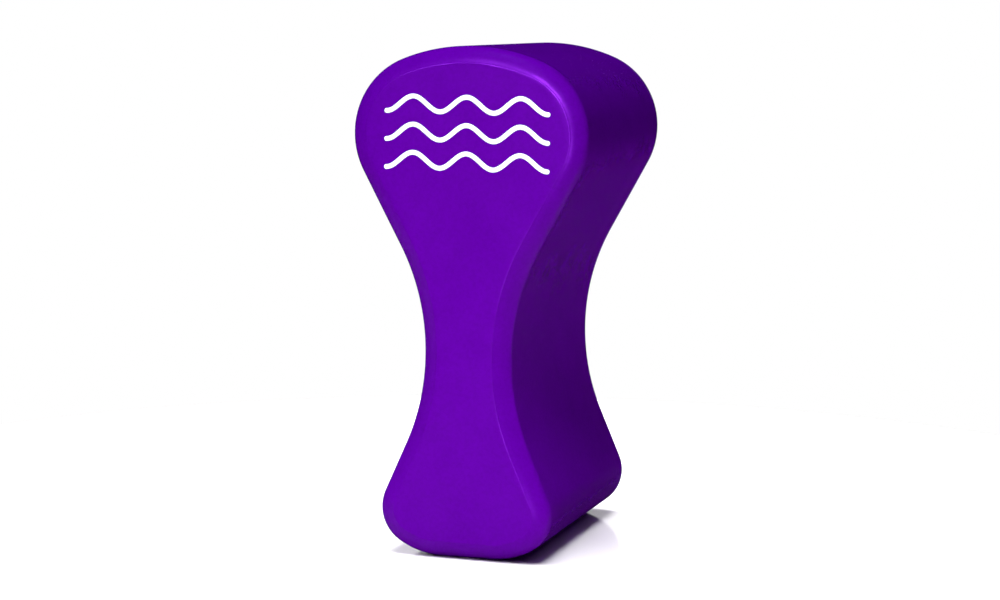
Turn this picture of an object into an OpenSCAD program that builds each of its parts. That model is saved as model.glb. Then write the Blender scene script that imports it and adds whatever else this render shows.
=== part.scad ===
// Pull buoy: a one-piece moulded foam float that a swimmer holds between the thighs.
// It stands on its foot, the smaller lobe. The origin is the middle of the base,
// +Z is up through the head, and the marked front face looks towards -Y.

/* [Body] */
// Height, standing on the foot
body_h = 240; // [230:1:256]
// Depth, from the front face to the back face
body_d = 140; // [100:1:160]

/* [Head] */
// Width of the head, the larger lobe
head_w = 114; // [106:1:122]
// Radius of the shoulders at the head's sides
shoulder_r = 37.5; // [32:0.5:42]
// Radius of the domed crown
crown_r = 90; // [80:1:140]

/* [Waist] */
// Width of the waist, which the thighs grip
waist_w = 42.5; // [36:0.5:54]
// Height of the narrowest place above the base
waist_z = 96; // [90:1:104]
// Radius of the hollow sides
waist_r = 107; // [90:1:120]

/* [Foot] */
// Width of the foot, the smaller lobe
foot_w = 84; // [78:1:92]
// Radius of the foot's sides
ankle_r = 19; // [16:0.5:22]
// Radius that turns the foot's sides into its flat
heel_r = 40; // [36:1:48]
// Width of the flat that the buoy stands on
base_flat = 24; // [22:1:32]

/* [Border] */
// Width of the sloping border around each flat face
border_w = 8; // [5:0.5:10]
// Depth that the border takes up of each side wall
border_d = 7.5; // [5:0.5:14]
// Depth that the border would drop if it went on at the slope of its crease
crease_drop = 2.4; // [1.2:0.1:4]

/* [Printed mark] */
// Height of the middle wave above the base
mark_z = 200; // [192:1:204]
// Distance between two lines of the mark
line_pitch = 13; // [9:1:15]
// Length from crest to crest
wave_length = 26; // [18:1:28]
// Crests in each line
wave_crests = 3; // [1:1:3]
// Rise of a crest above the middle of its line
wave_rise = 3.5; // [1:0.5:5]
// Width of the printed stroke
stroke_w = 2.2; // [1:0.1:3]
// Thickness of the ink
ink_t = 0.2; // [0.1:0.05:0.4]

/* [Hidden] */

foam_colour = "#6501B0";
ink_colour = "white";

arc_step = 5;      // largest turn between two points of an arc, in degrees
hollow_step = 3;   // the same on the long hollow sides
border_steps = 7;  // bands across a border
wave_steps = 16;   // points from crest to crest
cap_steps = 8;     // points round the end of a stroke

function dir(a) = [cos(a), sin(a)];
function angle(v) = atan2(v[1], v[0]);
function reverse(list) = [for (i = [len(list) - 1:-1:0]) list[i]];

// Centres of the outline's arcs, as [x, z] on the right-hand side. Each arc is tangent to
// the next: the crown to the shoulder, and the ankle to the heel, from inside.
crown_c = [0, body_h - crown_r];
shoulder_x = head_w / 2 - shoulder_r;
shoulder_c = crown_c + [shoulder_x, sqrt(pow(crown_r - shoulder_r, 2) - pow(shoulder_x, 2))];
waist_c = [waist_w / 2 + waist_r, waist_z];
heel_c = [base_flat / 2, heel_r];
ankle_x = foot_w / 2 - ankle_r - heel_c[0];
ankle_c = heel_c + [ankle_x, -sqrt(pow(heel_r - ankle_r, 2) - pow(ankle_x, 2))];

// Direction of the normal where a straight flank leaves a lobe's arc for the hollow side
function flank_a(c, r, side) =
    angle(waist_c - c) + side * acos((r + waist_r) / norm(waist_c - c));

crown_a = angle(shoulder_c - crown_c);
upper_a = flank_a(shoulder_c, shoulder_r, 1);
lower_a = flank_a(ankle_c, ankle_r, -1);
heel_a = angle(ankle_c - heel_c);

// Points of an arc from angle a to angle b, each as [point, outward normal]. A negative
// radius gives a hollow arc. A joined arc leaves out the point that it shares.
function arc(c, r, a, b, step, joined = false) =
    let (n = ceil(abs(b - a) / step))
    [for (i = [joined ? 1 : 0:n]) let (t = a + (b - a) * i / n) [c + r * dir(t), dir(t)]];

right_side = concat(
    arc(crown_c, crown_r, 90, crown_a, arc_step),
    arc(shoulder_c, shoulder_r, crown_a, upper_a, arc_step, true),
    arc(waist_c, -waist_r, upper_a, lower_a, hollow_step),
    arc(ankle_c, ankle_r, lower_a, heel_a, arc_step),
    arc(heel_c, heel_r, heel_a, -90, arc_step, true)
);

function flip(p) = [[-p[0][0], p[0][1]], [-p[1][0], p[1][1]]];

// The whole outline, clockwise seen from the front, starting at the top of the crown
outline = concat(
    right_side,
    [for (i = [len(right_side) - 1:-1:1]) flip(right_side[i])]
);

// Place across a border as [inset, depth], from the crease (t = 0) to the side wall (t = 1)
function border(t) =
    [pow(1 - t, 2) * border_w, 2 * t * (1 - t) * crease_drop + pow(t, 2) * border_d];

// The outline drawn in by an inset, standing at the depth y
function ring(inset, y) = [
    for (p = outline) let (q = p[0] - inset * p[1]) [q[0], y, q[1]]
];

// The body is its outline swept through the rings of the front border, the side wall and the
// back border. Each flat face is a stack of strips from one side of the outline to the other.
module foam_body() {
    front = [for (i = [0:border_steps]) border(i / border_steps)];
    rings = concat(
        [for (s = front) ring(s[0], s[1] - body_d / 2)],
        [for (s = reverse(front)) ring(s[0], body_d / 2 - s[1])]
    );
    m = len(outline);
    last = (len(rings) - 1) * m;
    strips = [for (i = [0:len(right_side) - 2]) [i, i + 1, m - i - 1, (m - i) % m]];
    faces = concat(
        strips,
        [for (j = [0:m:last - m], i = [0:m - 1])
            let (k = (i + 1) % m) [j + i, j + m + i, j + m + k, j + k]],
        [for (s = strips) [for (v = reverse(s)) last + v]]
    );
    color(foam_colour)
        polyhedron([for (r = rings) each r], faces);
}

// Middle line of a wave and its slope, with a crest at x = 0
function wave(x) = [x, wave_rise * cos(360 * x / wave_length)];
function wave_slope(x) = atan(-wave_rise * 2 * PI / wave_length * sin(360 * x / wave_length));

// A point on the edge of the stroke, at the angle a from the line's own direction
function stroke(x, a) = wave(x) + stroke_w / 2 * dir(wave_slope(x) + a);

module wave_line(z) {
    end = wave_crests * wave_length / 2;
    xs = [for (i = [0:wave_crests * wave_steps]) i * wave_length / wave_steps - end];
    color(ink_colour)
        translate([0, -body_d / 2, z])
            rotate([90, 0, 0])
                linear_extrude(ink_t)
                    polygon(concat(
                        [for (x = xs) stroke(x, 90)],
                        [for (i = [1:cap_steps - 1]) stroke(end, 90 - 180 * i / cap_steps)],
                        [for (x = reverse(xs)) stroke(x, -90)],
                        [for (i = [1:cap_steps - 1]) stroke(-end, -90 - 180 * i / cap_steps)]
                    ));
}

module wave_upper() { wave_line(mark_z + line_pitch); }
module wave_middle() { wave_line(mark_z); }
module wave_lower() { wave_line(mark_z - line_pitch); }

foam_body();
wave_upper();
wave_middle();
wave_lower();
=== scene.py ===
"""Pull buoy: a one-piece moulded foam float standing on its foot on a white table."""
import math

import bmesh
import bpy
from mathutils import Matrix, Vector, noise


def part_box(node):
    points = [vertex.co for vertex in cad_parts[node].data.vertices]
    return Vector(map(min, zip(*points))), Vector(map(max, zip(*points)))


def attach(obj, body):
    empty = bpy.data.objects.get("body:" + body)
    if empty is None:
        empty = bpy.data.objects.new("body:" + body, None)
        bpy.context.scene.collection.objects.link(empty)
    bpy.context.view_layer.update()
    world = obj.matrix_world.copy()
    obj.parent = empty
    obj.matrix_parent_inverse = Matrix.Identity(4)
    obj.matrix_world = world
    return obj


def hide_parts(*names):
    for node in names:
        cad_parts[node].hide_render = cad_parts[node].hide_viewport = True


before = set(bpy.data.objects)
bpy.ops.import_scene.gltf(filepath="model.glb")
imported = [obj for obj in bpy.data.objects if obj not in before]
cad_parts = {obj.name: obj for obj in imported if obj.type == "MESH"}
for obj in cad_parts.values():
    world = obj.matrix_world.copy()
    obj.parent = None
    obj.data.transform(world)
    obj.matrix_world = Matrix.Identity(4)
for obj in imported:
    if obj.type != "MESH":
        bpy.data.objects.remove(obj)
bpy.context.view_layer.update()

MM = 0.001
BODY_LOW, BODY_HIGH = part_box("foam_body")
FRONT_Y, BACK_Y = BODY_LOW.y, BODY_HIGH.y
TOP_Z = BODY_HIGH.z
HEAD_HALF = BODY_HIGH.x

# The outline, as tangent arcs
CROWN_R = 90 * MM
SHOULDER_R = 37.5 * MM
WAIST_R = 107 * MM
WAIST_HALF = 21.25 * MM
WAIST_Z = 96 * MM
FOOT_HALF = 42 * MM
ANKLE_R = 19 * MM
HEEL_R = 40 * MM
BASE_HALF = 12 * MM

# The border round each flat face
BORDER_W = 8 * MM
BORDER_D = 7.5 * MM
CREASE_SHARE = 0.06         # share of the border that turns away from the flat at the crease
LOBE_SLOPES = (14, 30)      # slope behind the crease and before the outer corner, in degrees
WAIST_SLOPES = (24, 44)
LOBE_CORNER, WAIST_CORNER = 0.46, 0.78  # where the outer corner starts, as a share
LIP_SLOPE = 12              # extra slope at the crease's small lip, in degrees
LIP_SHARE, LIP_WIDTH = 0.05, 0.022
WAIST_REACH = 60 * MM       # how far up and down from the waist its sharper corner goes
# The skin's unevenness goes inwards on the walls and the back, and outwards on the front
UNEVEN_DEPTH = 0.03 * MM    # half the most that it moves the skin
UNEVEN_SCALE = 20           # waves of the unevenness per metre
UNEVEN_START = 2 * MM       # the base is left flat up to this height
UNEVEN_RISE = 12 * MM       # and the unevenness grows over this one

# Mesh fineness
STEP = 1.3 * MM             # along the outline
COLUMNS = 40                # across a flat face
BORDER_BANDS = 38
SECTION_STEPS = 240
EVEN_WEIGHT = 0.6           # spaces the border's bands evenly, as well as by how it turns
WALL_BANDS = 44

# The mark
WAVE_LENGTH = 26 * MM
WAVE_RISE = 3.5 * MM
STROKE_HALF = 1.1 * MM
INK_SINK = 0.25 * MM        # how far the ink is pressed into the foam
# The ink's rounded edge: share of the half width, and share of the ink's height
INK_EDGE = ((1.0, 0.3), (0.93, 0.75), (0.8, 1.0))
WAVE_STEPS = 180
CAP_STEPS = 10


# ---------------------------------------------------------------- outline

def direction(a):
    return Vector((math.cos(a), math.sin(a)))


def heading(v):
    return math.atan2(v.y, v.x)


def arc(centre, radius, a, b, joined=False):
    """Points of an arc as (point, outward normal); a negative radius gives a hollow one."""
    count = max(2, math.ceil(abs((b - a) * radius) / STEP))
    first = 1 if joined else 0
    turns = [a + (b - a) * i / count for i in range(first, count + 1)]
    return [(centre + radius * direction(t), direction(t)) for t in turns]


def straight(start, end):
    """Points between two (point, normal) pairs that share a normal, both ends left out."""
    count = max(1, math.ceil((end[0] - start[0]).length / STEP))
    return [(start[0].lerp(end[0], i / count), start[1]) for i in range(1, count)]


def right_side():
    """The outline's right-hand half, from the top of the crown to the edge of the base."""
    crown_c = Vector((0, TOP_Z - CROWN_R))
    shoulder_x = HEAD_HALF - SHOULDER_R
    rise = math.sqrt((CROWN_R - SHOULDER_R) ** 2 - shoulder_x ** 2)
    shoulder_c = crown_c + Vector((shoulder_x, rise))
    waist_c = Vector((WAIST_HALF + WAIST_R, WAIST_Z))
    heel_c = Vector((BASE_HALF, HEEL_R))
    ankle_x = FOOT_HALF - ANKLE_R - BASE_HALF
    fall = math.sqrt((HEEL_R - ANKLE_R) ** 2 - ankle_x ** 2)
    ankle_c = heel_c + Vector((ankle_x, -fall))

    def flank(centre, radius, side):
        across = waist_c - centre
        return heading(across) + side * math.acos((radius + WAIST_R) / across.length)

    crown_a = heading(shoulder_c - crown_c)
    upper_a = flank(shoulder_c, SHOULDER_R, 1)
    lower_a = flank(ankle_c, ANKLE_R, -1)
    heel_a = heading(ankle_c - heel_c)
    crown = arc(crown_c, CROWN_R, math.pi / 2, crown_a)
    shoulder = arc(shoulder_c, SHOULDER_R, crown_a, upper_a, True)
    waist = arc(waist_c, -WAIST_R, upper_a, lower_a)
    ankle = arc(ankle_c, ANKLE_R, lower_a, heel_a)
    heel = arc(heel_c, HEEL_R, heel_a, -math.pi / 2, True)
    return (crown + shoulder + straight(shoulder[-1], waist[0]) + waist
            + straight(waist[-1], ankle[0]) + ankle + heel)


def full_outline(side):
    """Right side, the base from right to left, then the left side back up to the crown."""
    down = Vector((0, -1))
    edge = side[-1][0].x
    base = [(Vector((edge - 2 * edge * i / COLUMNS, 0)), down) for i in range(1, COLUMNS)]
    left = [(Vector((-p.x, p.y)), Vector((-n.x, n.y))) for p, n in reversed(side[1:])]
    return side + base + left


# ---------------------------------------------------------------- body

def smooth_step(t):
    t = min(max(t, 0.0), 1.0)
    return t * t * (3 - 2 * t)


def mix(a, b, t):
    return a + (b - a) * t


def border_slope(share, tight):
    """Slope of the border in radians, from 0 at the crease to upright at the wall."""
    first = math.radians(mix(LOBE_SLOPES[0], WAIST_SLOPES[0], tight))
    second = math.radians(mix(LOBE_SLOPES[1], WAIST_SLOPES[1], tight))
    corner = mix(LOBE_CORNER, WAIST_CORNER, tight)
    lip = math.radians(LIP_SLOPE) * math.exp(-((share - LIP_SHARE) / LIP_WIDTH) ** 2)
    if share < CREASE_SHARE:
        return first * smooth_step(share / CREASE_SHARE) + lip
    if share < corner:
        return mix(first, second, (share - CREASE_SHARE) / (corner - CREASE_SHARE)) + lip
    return mix(second, math.pi / 2, smooth_step((share - corner) / (1 - corner)))


def border_section(tight):
    """(inset, depth) pairs across the border, closest together where it turns most."""
    slopes = [border_slope((i + 0.5) / SECTION_STEPS, tight) for i in range(SECTION_STEPS)]
    run, rise, cost = [0.0], [0.0], [0.0]
    last = 0.0
    for slope in slopes:
        run.append(run[-1] + math.cos(slope))
        rise.append(rise[-1] + math.sin(slope))
        cost.append(cost[-1] + EVEN_WEIGHT / SECTION_STEPS + abs(slope - last))
        last = slope
    section, k = [], 0
    for i in range(BORDER_BANDS + 1):
        want = cost[-1] * i / BORDER_BANDS
        while k < SECTION_STEPS and cost[k] < want - 1e-9:
            k += 1
        section.append((BORDER_W * (1 - run[k] / run[-1]), BORDER_D * rise[k] / rise[-1]))
    return section


def waist_share(z):
    return math.exp(-((z - WAIST_Z) / WAIST_REACH) ** 4)


def undulation(p):
    """The slight unevenness of a moulded foam skin, as a distance along its normal."""
    lift = smooth_step((p[2] - UNEVEN_START) / UNEVEN_RISE)
    return lift * UNEVEN_DEPTH * (noise.noise(Vector(p) * UNEVEN_SCALE) + 1)


def body_rings(outline):
    """Closed rings from the front crease, over the wall, to the back crease."""
    sections = [border_section(waist_share(p.y)) for p, _ in outline]

    def ring(place):
        corners = []
        for (p, n), section in zip(outline, sections):
            inset, y = place(section)
            q = p - inset * n
            corners.append(Vector((q.x, y, q.y)))
        return corners

    def front(k):
        return lambda section: (section[k][0], FRONT_Y + section[k][1])

    def back(k):
        return lambda section: (section[k][0], BACK_Y - section[k][1])

    def wall(share):
        y = mix(FRONT_Y + BORDER_D, BACK_Y - BORDER_D, share)
        return lambda section: (0.0, y)

    places = [front(k) for k in range(BORDER_BANDS + 1)]
    places += [wall(i / WALL_BANDS) for i in range(1, WALL_BANDS)]
    places += [back(k) for k in range(BORDER_BANDS, -1, -1)]
    return [ring(place) for place in places]


def build_body():
    side = right_side()
    outline = full_outline(side)
    bm = bmesh.new()
    rings = [[bm.verts.new(corner) for corner in ring] for ring in body_rings(outline)]
    count = len(outline)
    for near, far in zip(rings, rings[1:]):
        for i in range(count):
            k = (i + 1) % count
            bm.faces.new((near[i], near[k], far[k], far[i]))
    add_flat(bm, rings[0], len(side))
    add_flat(bm, rings[-1], len(side))
    bm.normal_update()
    moves = [(v, v.normal * undulation(v.co)) for v in bm.verts]
    for v, move in moves:
        v.co -= move
    bmesh.ops.recalc_face_normals(bm, faces=bm.faces)
    return finish_mesh(bm, "foam_body_skin")


def add_flat(bm, ring, side_count):
    """Fills a flat face with rows that run from the right side to the left side of its ring."""
    count = len(ring)
    rows = [[ring[0]]]
    for i in range(1, side_count - 1):
        right, left = ring[i], ring[count - i]
        inner = [bm.verts.new(right.co.lerp(left.co, j / COLUMNS)) for j in range(1, COLUMNS)]
        rows.append([right] + inner + [left])
    rows.append(ring[side_count - 1:side_count + COLUMNS])
    for j in range(COLUMNS):
        bm.faces.new((rows[0][0], rows[1][j], rows[1][j + 1]))
    for upper, lower in zip(rows[1:], rows[2:]):
        for j in range(COLUMNS):
            bm.faces.new((upper[j], lower[j], lower[j + 1], upper[j + 1]))


def finish_mesh(bm, name):
    mesh = bpy.data.meshes.new(name)
    bm.to_mesh(mesh)
    bm.free()
    mesh.polygons.foreach_set("use_smooth", [True] * len(mesh.polygons))
    obj = bpy.data.objects.new(name, mesh)
    bpy.context.scene.collection.objects.link(obj)
    return obj


# ---------------------------------------------------------------- mark

def wave_stops(end):
    """(x, turn) along a wave: round its first end, from end to end, and round the other."""
    quarter = math.pi / 2
    stops = [(-end, -quarter * (1 - i / CAP_STEPS)) for i in range(CAP_STEPS)]
    stops += [(end * (2 * i / WAVE_STEPS - 1), 0.0) for i in range(WAVE_STEPS + 1)]
    stops += [(end, quarter * i / CAP_STEPS) for i in range(1, CAP_STEPS + 1)]
    return stops


def wave_point(x, middle):
    """The point of a wave's middle line at x, and its slope there."""
    turn = 2 * math.pi * x / WAVE_LENGTH
    slope = math.atan(-WAVE_RISE * 2 * math.pi / WAVE_LENGTH * math.sin(turn))
    return Vector((x, middle + WAVE_RISE * math.cos(turn))), slope


def build_wave(name, node):
    """One printed line: a shallow pillow of ink that follows its wave and ends round."""
    low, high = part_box(node)
    middle = (low.z + high.z) / 2
    face, proud = high.y, high.y - low.y
    section = [(1.0, -INK_SINK)] + [(share, rise * proud) for share, rise in INK_EDGE]
    bm = bmesh.new()
    ribs = []
    for x, turn in wave_stops(high.x - STROKE_HALF):
        p, slope = wave_point(x, middle)
        rib = []
        for sign in (1, -1):
            aside = direction(slope + sign * (math.pi / 2 - turn))
            for share, height in section[::sign]:
                q = p + STROKE_HALF * share * aside
                rib.append(bm.verts.new((q.x, face - height, q.y)))
        ribs.append(rib)
    across = len(ribs[0])
    for a, b in zip(ribs, ribs[1:]):
        for j in range(across):
            k = (j + 1) % across
            bm.faces.new((a[j], a[k], b[k], b[j]))
    # The first and the last rib are folded flat, and close the ends
    bmesh.ops.remove_doubles(bm, verts=bm.verts, dist=0.001 * MM)
    bmesh.ops.recalc_face_normals(bm, faces=bm.faces)
    return finish_mesh(bm, name)


# ---------------------------------------------------------------- materials

FOAM_DEEP = (0.077, 0.0001, 0.226, 1)
FOAM_PALE = (0.083, 0.0002, 0.244, 1)
FOAM_SPECK = (0.89, 0.89, 0.89, 1)
FOAM_ROUGHNESS = (0.21, 0.26)
INK_THIN = (0.86, 0.85, 0.88, 1)
INK_FULL = (0.93, 0.93, 0.94, 1)
TABLE_WHITE = (0.93, 0.93, 0.93, 1)
# Scales of the noise, in features per metre
MOTTLE_SCALE, SPECKLE_SCALE, SHEEN_SCALE = 75, 650, 60
CELL_SCALE, SKIN_SCALE = 1100, 500
INK_SPECKLE_SCALE, INK_SKIN_SCALE = 1500, 900


def new_material(name):
    material = bpy.data.materials.new(name)
    material.use_nodes = True
    nodes, links = material.node_tree.nodes, material.node_tree.links
    shader = nodes["Principled BSDF"]
    place = nodes.new("ShaderNodeTexCoord")
    return material, nodes, links, shader, place.outputs["Object"]


def noise_node(nodes, links, place, scale, detail, rough=0.5):
    n = nodes.new("ShaderNodeTexNoise")
    n.inputs["Scale"].default_value = scale
    n.inputs["Detail"].default_value = detail
    n.inputs["Roughness"].default_value = rough
    links.new(place, n.inputs["Vector"])
    return n.outputs["Fac"]


def ramp_node(nodes, links, value, first, last):
    """Blends from one (position, colour) to another."""
    n = nodes.new("ShaderNodeValToRGB")
    for element, stop in zip(n.color_ramp.elements, (first, last)):
        element.position, element.color = stop
    links.new(value, n.inputs["Fac"])
    return n.outputs["Color"]


def range_node(nodes, links, value, before, after):
    """Maps a (low, high) range onto another."""
    n = nodes.new("ShaderNodeMapRange")
    for key, number in zip(("From Min", "From Max", "To Min", "To Max"), before + after):
        n.inputs[key].default_value = number
    links.new(value, n.inputs["Value"])
    return n.outputs["Result"]


def multiply_node(nodes, links, a, b):
    n = nodes.new("ShaderNodeMix")
    n.data_type, n.blend_type = "RGBA", "MULTIPLY"
    n.inputs["Factor"].default_value = 1.0
    links.new(a, n.inputs[6])
    links.new(b, n.inputs[7])
    return n.outputs[2]


def bump_node(nodes, links, height, distance, strength, under=None):
    n = nodes.new("ShaderNodeBump")
    n.inputs["Distance"].default_value = distance
    n.inputs["Strength"].default_value = strength
    links.new(height, n.inputs["Height"])
    if under is not None:
        links.new(under, n.inputs["Normal"])
    return n.outputs["Normal"]


def foam_material():
    """Satin skin of moulded closed-cell foam: faint mottling, and a fine pebble of cells."""
    # Above a roughness of about 0.27 the glints would count as diffuse light, and vanish
    material, nodes, links, shader, place = new_material("eva_foam")
    mottle = noise_node(nodes, links, place, MOTTLE_SCALE, 4, 0.6)
    colour = ramp_node(nodes, links, mottle, (0.30, FOAM_DEEP), (0.70, FOAM_PALE))
    speckle = noise_node(nodes, links, place, SPECKLE_SCALE, 3, 0.7)
    grain = ramp_node(nodes, links, speckle, (0.32, FOAM_SPECK), (0.60, (1.0, 1.0, 1.0, 1)))
    links.new(multiply_node(nodes, links, colour, grain), shader.inputs["Base Color"])
    patches = noise_node(nodes, links, place, SHEEN_SCALE, 2)
    roughness = range_node(nodes, links, patches, (0.3, 0.7), FOAM_ROUGHNESS)
    links.new(roughness, shader.inputs["Roughness"])
    cells = nodes.new("ShaderNodeTexVoronoi")
    cells.inputs["Scale"].default_value = CELL_SCALE
    links.new(place, cells.inputs["Vector"])
    pebble = bump_node(nodes, links, cells.outputs["Distance"], 0.05 * MM, 0.2)
    pores = noise_node(nodes, links, place, SKIN_SCALE, 3)
    links.new(bump_node(nodes, links, pores, 0.06 * MM, 0.25, pebble), shader.inputs["Normal"])
    shader.inputs["IOR"].default_value = 1.5
    shader.inputs["Specular IOR Level"].default_value = 0.3
    shader.inputs["Specular Tint"].default_value = (0.5, 0.08, 1.0, 1)
    return material


def ink_material():
    """Matt white ink pressed into the skin, a little thin where the cells stand up."""
    material, nodes, links, shader, place = new_material("white_ink")
    speckle = noise_node(nodes, links, place, INK_SPECKLE_SCALE, 2)
    colour = ramp_node(nodes, links, speckle, (0.30, INK_THIN), (0.60, INK_FULL))
    links.new(colour, shader.inputs["Base Color"])
    shader.inputs["Roughness"].default_value = 0.6
    skin = noise_node(nodes, links, place, INK_SKIN_SCALE, 2)
    links.new(bump_node(nodes, links, skin, 0.05 * MM, 0.3), shader.inputs["Normal"])
    return material


def floor_material():
    """Polished white acrylic."""
    material, nodes, links, shader, _ = new_material("white_table")
    shader.inputs["Base Color"].default_value = TABLE_WHITE
    shader.inputs["Roughness"].default_value = 0.08
    shader.inputs["IOR"].default_value = 1.45
    return material


# ---------------------------------------------------------------- camera, floor, light

WHITE = (1.0, 1.0, 1.0)
COOL = (0.85, 1.0, 1.0)
VIOLET = (0.85, 0.6, 1.0)
LIGHT_DISTANCE = 1.7
# Suns for the table alone: name, azimuth, elevation, spread in degrees, power, colour
TABLE_LIGHTS = (
    ("table_overhead", 0, 89, 40, 7.6, WHITE),
    ("table_dome", 0, 89, 100, 0.7, VIOLET),
    ("table_left", -90, 25, 30, 3.6, WHITE),
)
# White walls round the table, which only the table mirrors
TENT_AZIMUTHS = (0, 90, 180, 270)
TENT_ELEVATION, TENT_DISTANCE = 14, 1.5
TENT_WIDTH, TENT_HEIGHT, TENT_POWER = 3.0, 1.2, 11
# Panels that shade the buoy: name, azimuth, elevation, size, power
PANELS = (
    ("panel_top", -12, 65, 0.5, 17),
    ("panel_high", 0, 50, 0.5, 32),
    ("panel_right", 17, 28, 0.5, 6),
    ("panel_back", 180, 12, 0.7, 14),
    ("panel_back_left", -158, 15, 0.7, 12),
)
# Small lights that only show as a sheen on the buoy's rounded edges:
# name, azimuth, elevation, power
GLINT_SIZE = 0.2
GLINTS = (
    ("glint_crown", -14, 36, 3),
    ("glint_top", -12, 21, 12),
    ("glint_top_left", -26, 20, 8),
    ("glint_high", 0, 26, 24),
    ("glint_middle", 6, 18, 48),
    ("glint_front", -2, 12, 8),
    ("glint_low", 10, 4, 13),
    ("glint_right", 13, -6, 16),
)

FLOOR_RADIUS, FLOOR_SIDES = 0.42, 96
LENS_MM, SENSOR_MM = 89.6, 36
CLIP_NEAR, CLIP_FAR = 0.05, 50
YAW, PITCH, ROLL = math.radians(17.49), math.radians(6.84), math.radians(-0.74)
# The middle of the front face, as the camera sees it: to the right, away and up
FACE_IN_VIEW = Vector((-16.43 * MM, 1153.0 * MM, -3.05 * MM))


def place_camera():
    data = bpy.data.cameras.new("camera")
    data.lens = LENS_MM
    data.sensor_width = SENSOR_MM
    data.clip_start, data.clip_end = CLIP_NEAR, CLIP_FAR
    camera = bpy.data.objects.new("camera", data)
    bpy.context.scene.collection.objects.link(camera)
    turn = Matrix.Rotation(PITCH, 3, "X") @ Matrix.Rotation(-YAW, 3, "Z")
    aim = Vector((0, FRONT_Y, TOP_Z / 2))
    right, away, up = turn[0], turn[1], turn[2]
    cr, sr = math.cos(ROLL), math.sin(ROLL)
    axes = Matrix((cr * right - sr * up, sr * right + cr * up, -away)).transposed()
    eye = aim - turn.transposed() @ FACE_IN_VIEW
    camera.matrix_world = Matrix.Translation(eye) @ axes.to_4x4()
    bpy.context.scene.camera = camera


def add_floor():
    bm = bmesh.new()
    bmesh.ops.create_circle(bm, cap_ends=True, segments=FLOOR_SIDES, radius=FLOOR_RADIUS)
    floor = finish_mesh(bm, "table_top")
    floor.data.materials.append(floor_material())
    floor.visible_glossy = False
    return floor


def toward(azimuth, elevation):
    """Unit vector to a light: azimuth 0 is in front of the buoy, and 90 to its right."""
    a, e = math.radians(azimuth), math.radians(elevation)
    return Vector((math.sin(a) * math.cos(e), -math.cos(a) * math.cos(e), math.sin(e)))


def add_light(data, azimuth, elevation, distance=LIGHT_DISTANCE):
    light = bpy.data.objects.new(data.name, data)
    back = toward(azimuth, elevation)
    light.location = Vector((0, 0, TOP_Z / 2)) + back * distance
    light.rotation_mode = "QUATERNION"
    light.rotation_quaternion = back.to_track_quat("Z", "Y")
    bpy.context.scene.collection.objects.link(light)
    return light


def add_softbox(name, azimuth, elevation, width, height, power, distance=LIGHT_DISTANCE):
    data = bpy.data.lights.new(name, "AREA")
    data.shape, data.size, data.size_y = "RECTANGLE", width, height
    data.energy = power
    return add_light(data, azimuth, elevation, distance)


def add_panel(group, name, azimuth, elevation, size, power):
    """A cool square light for the buoy alone, to shade it without a mirror image."""
    panel = add_softbox(name, azimuth, elevation, size, size, power)
    panel.data.color = COOL
    panel.light_linking.receiver_collection = group
    panel.visible_glossy = False


def add_glint(group, name, azimuth, elevation, power):
    """A small square light that the buoy mirrors, and that doesn't shade it."""
    glint = add_softbox(name, azimuth, elevation, GLINT_SIZE, GLINT_SIZE, power)
    glint.data.color = VIOLET
    glint.light_linking.receiver_collection = group
    glint.visible_diffuse = False


def light_group(name, floor, state):
    """A light-linking group of the table alone (INCLUDE), or of all but it (EXCLUDE)."""
    group = bpy.data.collections.new(name)
    group.objects.link(floor)
    group.collection_objects[0].light_linking.link_state = state
    return group


def light_table(group):
    """Light from overhead and from the left, and the white walls."""
    for name, azimuth, elevation, spread, power, colour in TABLE_LIGHTS:
        data = bpy.data.lights.new(name, "SUN")
        data.color = colour
        data.angle = math.radians(spread)
        data.energy = power
        light = add_light(data, azimuth, elevation)
        light.light_linking.receiver_collection = group
        light.visible_glossy = False
    for azimuth in TENT_AZIMUTHS:
        wall = add_softbox(f"tent_{azimuth}", azimuth, TENT_ELEVATION, TENT_WIDTH, TENT_HEIGHT,
                           TENT_POWER, TENT_DISTANCE)
        wall.light_linking.receiver_collection = group
        wall.visible_diffuse = False


def light_buoy(group):
    for row in PANELS:
        add_panel(group, *row)
    for row in GLINTS:
        add_glint(group, *row)


def add_world():
    """A white background where the camera sees it, which casts no light."""
    world = bpy.data.worlds.new("studio")
    world.use_nodes = True
    nodes, links = world.node_tree.nodes, world.node_tree.links
    nodes["Background"].inputs["Color"].default_value = (1, 1, 1, 1)
    path = nodes.new("ShaderNodeLightPath")
    links.new(path.outputs["Is Camera Ray"], nodes["Background"].inputs["Strength"])
    bpy.context.scene.world = world


def light_studio(floor):
    add_world()
    light_table(light_group("table_only", floor, "INCLUDE"))
    light_buoy(light_group("not_the_table", floor, "EXCLUDE"))


# ---------------------------------------------------------------- assembly

def main():
    place_camera()
    foam, ink = foam_material(), ink_material()
    body = build_body()
    body.data.materials.append(foam)
    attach(body, "root")
    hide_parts("foam_body")
    for place in ("upper", "middle", "lower"):
        wave = build_wave(f"ink_wave_{place}", f"wave_{place}")
        wave.data.materials.append(ink)
        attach(wave, "root")
        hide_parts(f"wave_{place}")
    light_studio(add_floor())
    view = bpy.context.scene.view_settings
    view.view_transform, view.look = "Standard", "None"


main()
